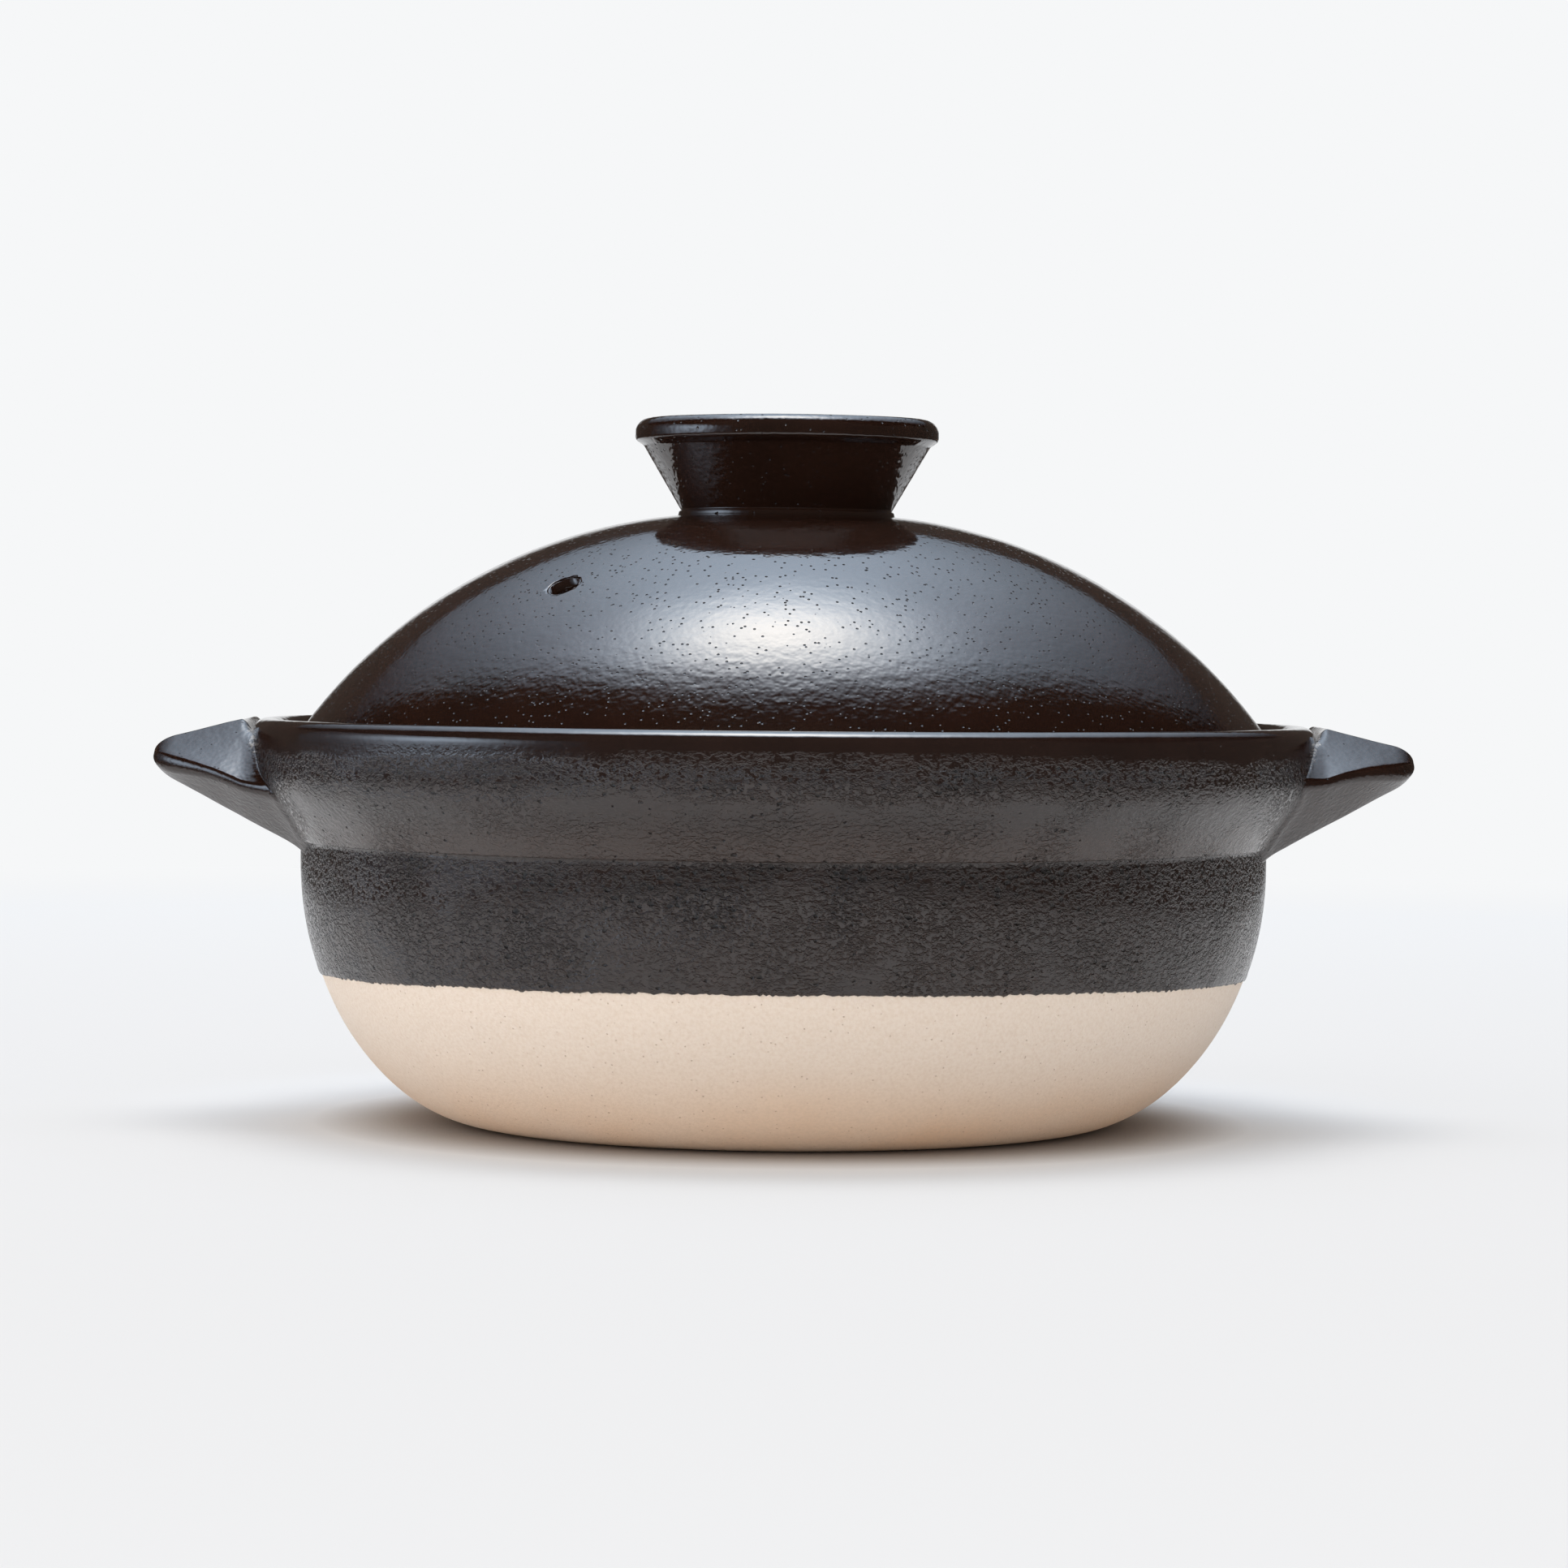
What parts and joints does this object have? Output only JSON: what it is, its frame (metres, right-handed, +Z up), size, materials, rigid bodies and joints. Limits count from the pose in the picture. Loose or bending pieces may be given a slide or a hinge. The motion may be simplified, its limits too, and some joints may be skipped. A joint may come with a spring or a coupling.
{
  "type": "lidded clay cooking pot",
  "caption": "Low round clay cooking pot with a flared collar, ear handles and a domed lid with a ring knob and a steam vent, black glazed above a bare clay base.",
  "frame": {"origin": "on the floor, under the middle of the pot", "axes": "+X through the right ear handle, -Y towards the front, +Z up through the knob"},
  "size_m": [0.2982, 0.2532, 0.1675],
  "materials": {
    "bare_clay": "matte",
    "gloss_glaze": "gloss",
    "satin_glaze": "satin"
  },
  "bodies": {
    "pot": {"pot_body": "bare_clay", "pot_outer_glaze": "satin_glaze", "pot_inner_glaze": "gloss_glaze", "handle_left": "gloss_glaze", "handle_right": "gloss_glaze"},
    "lid": {"lid_dome": "bare_clay", "lid_outer_glaze": "gloss_glaze", "lid_inner_glaze": "gloss_glaze", "lid_knob": "gloss_glaze"}
  },
  "joints": [
    {"name": "lid_lift", "type": "slide", "parent": "pot", "child": "lid", "axis": [0, 0, 1], "range_m": [0, 0.15]}
  ]
}
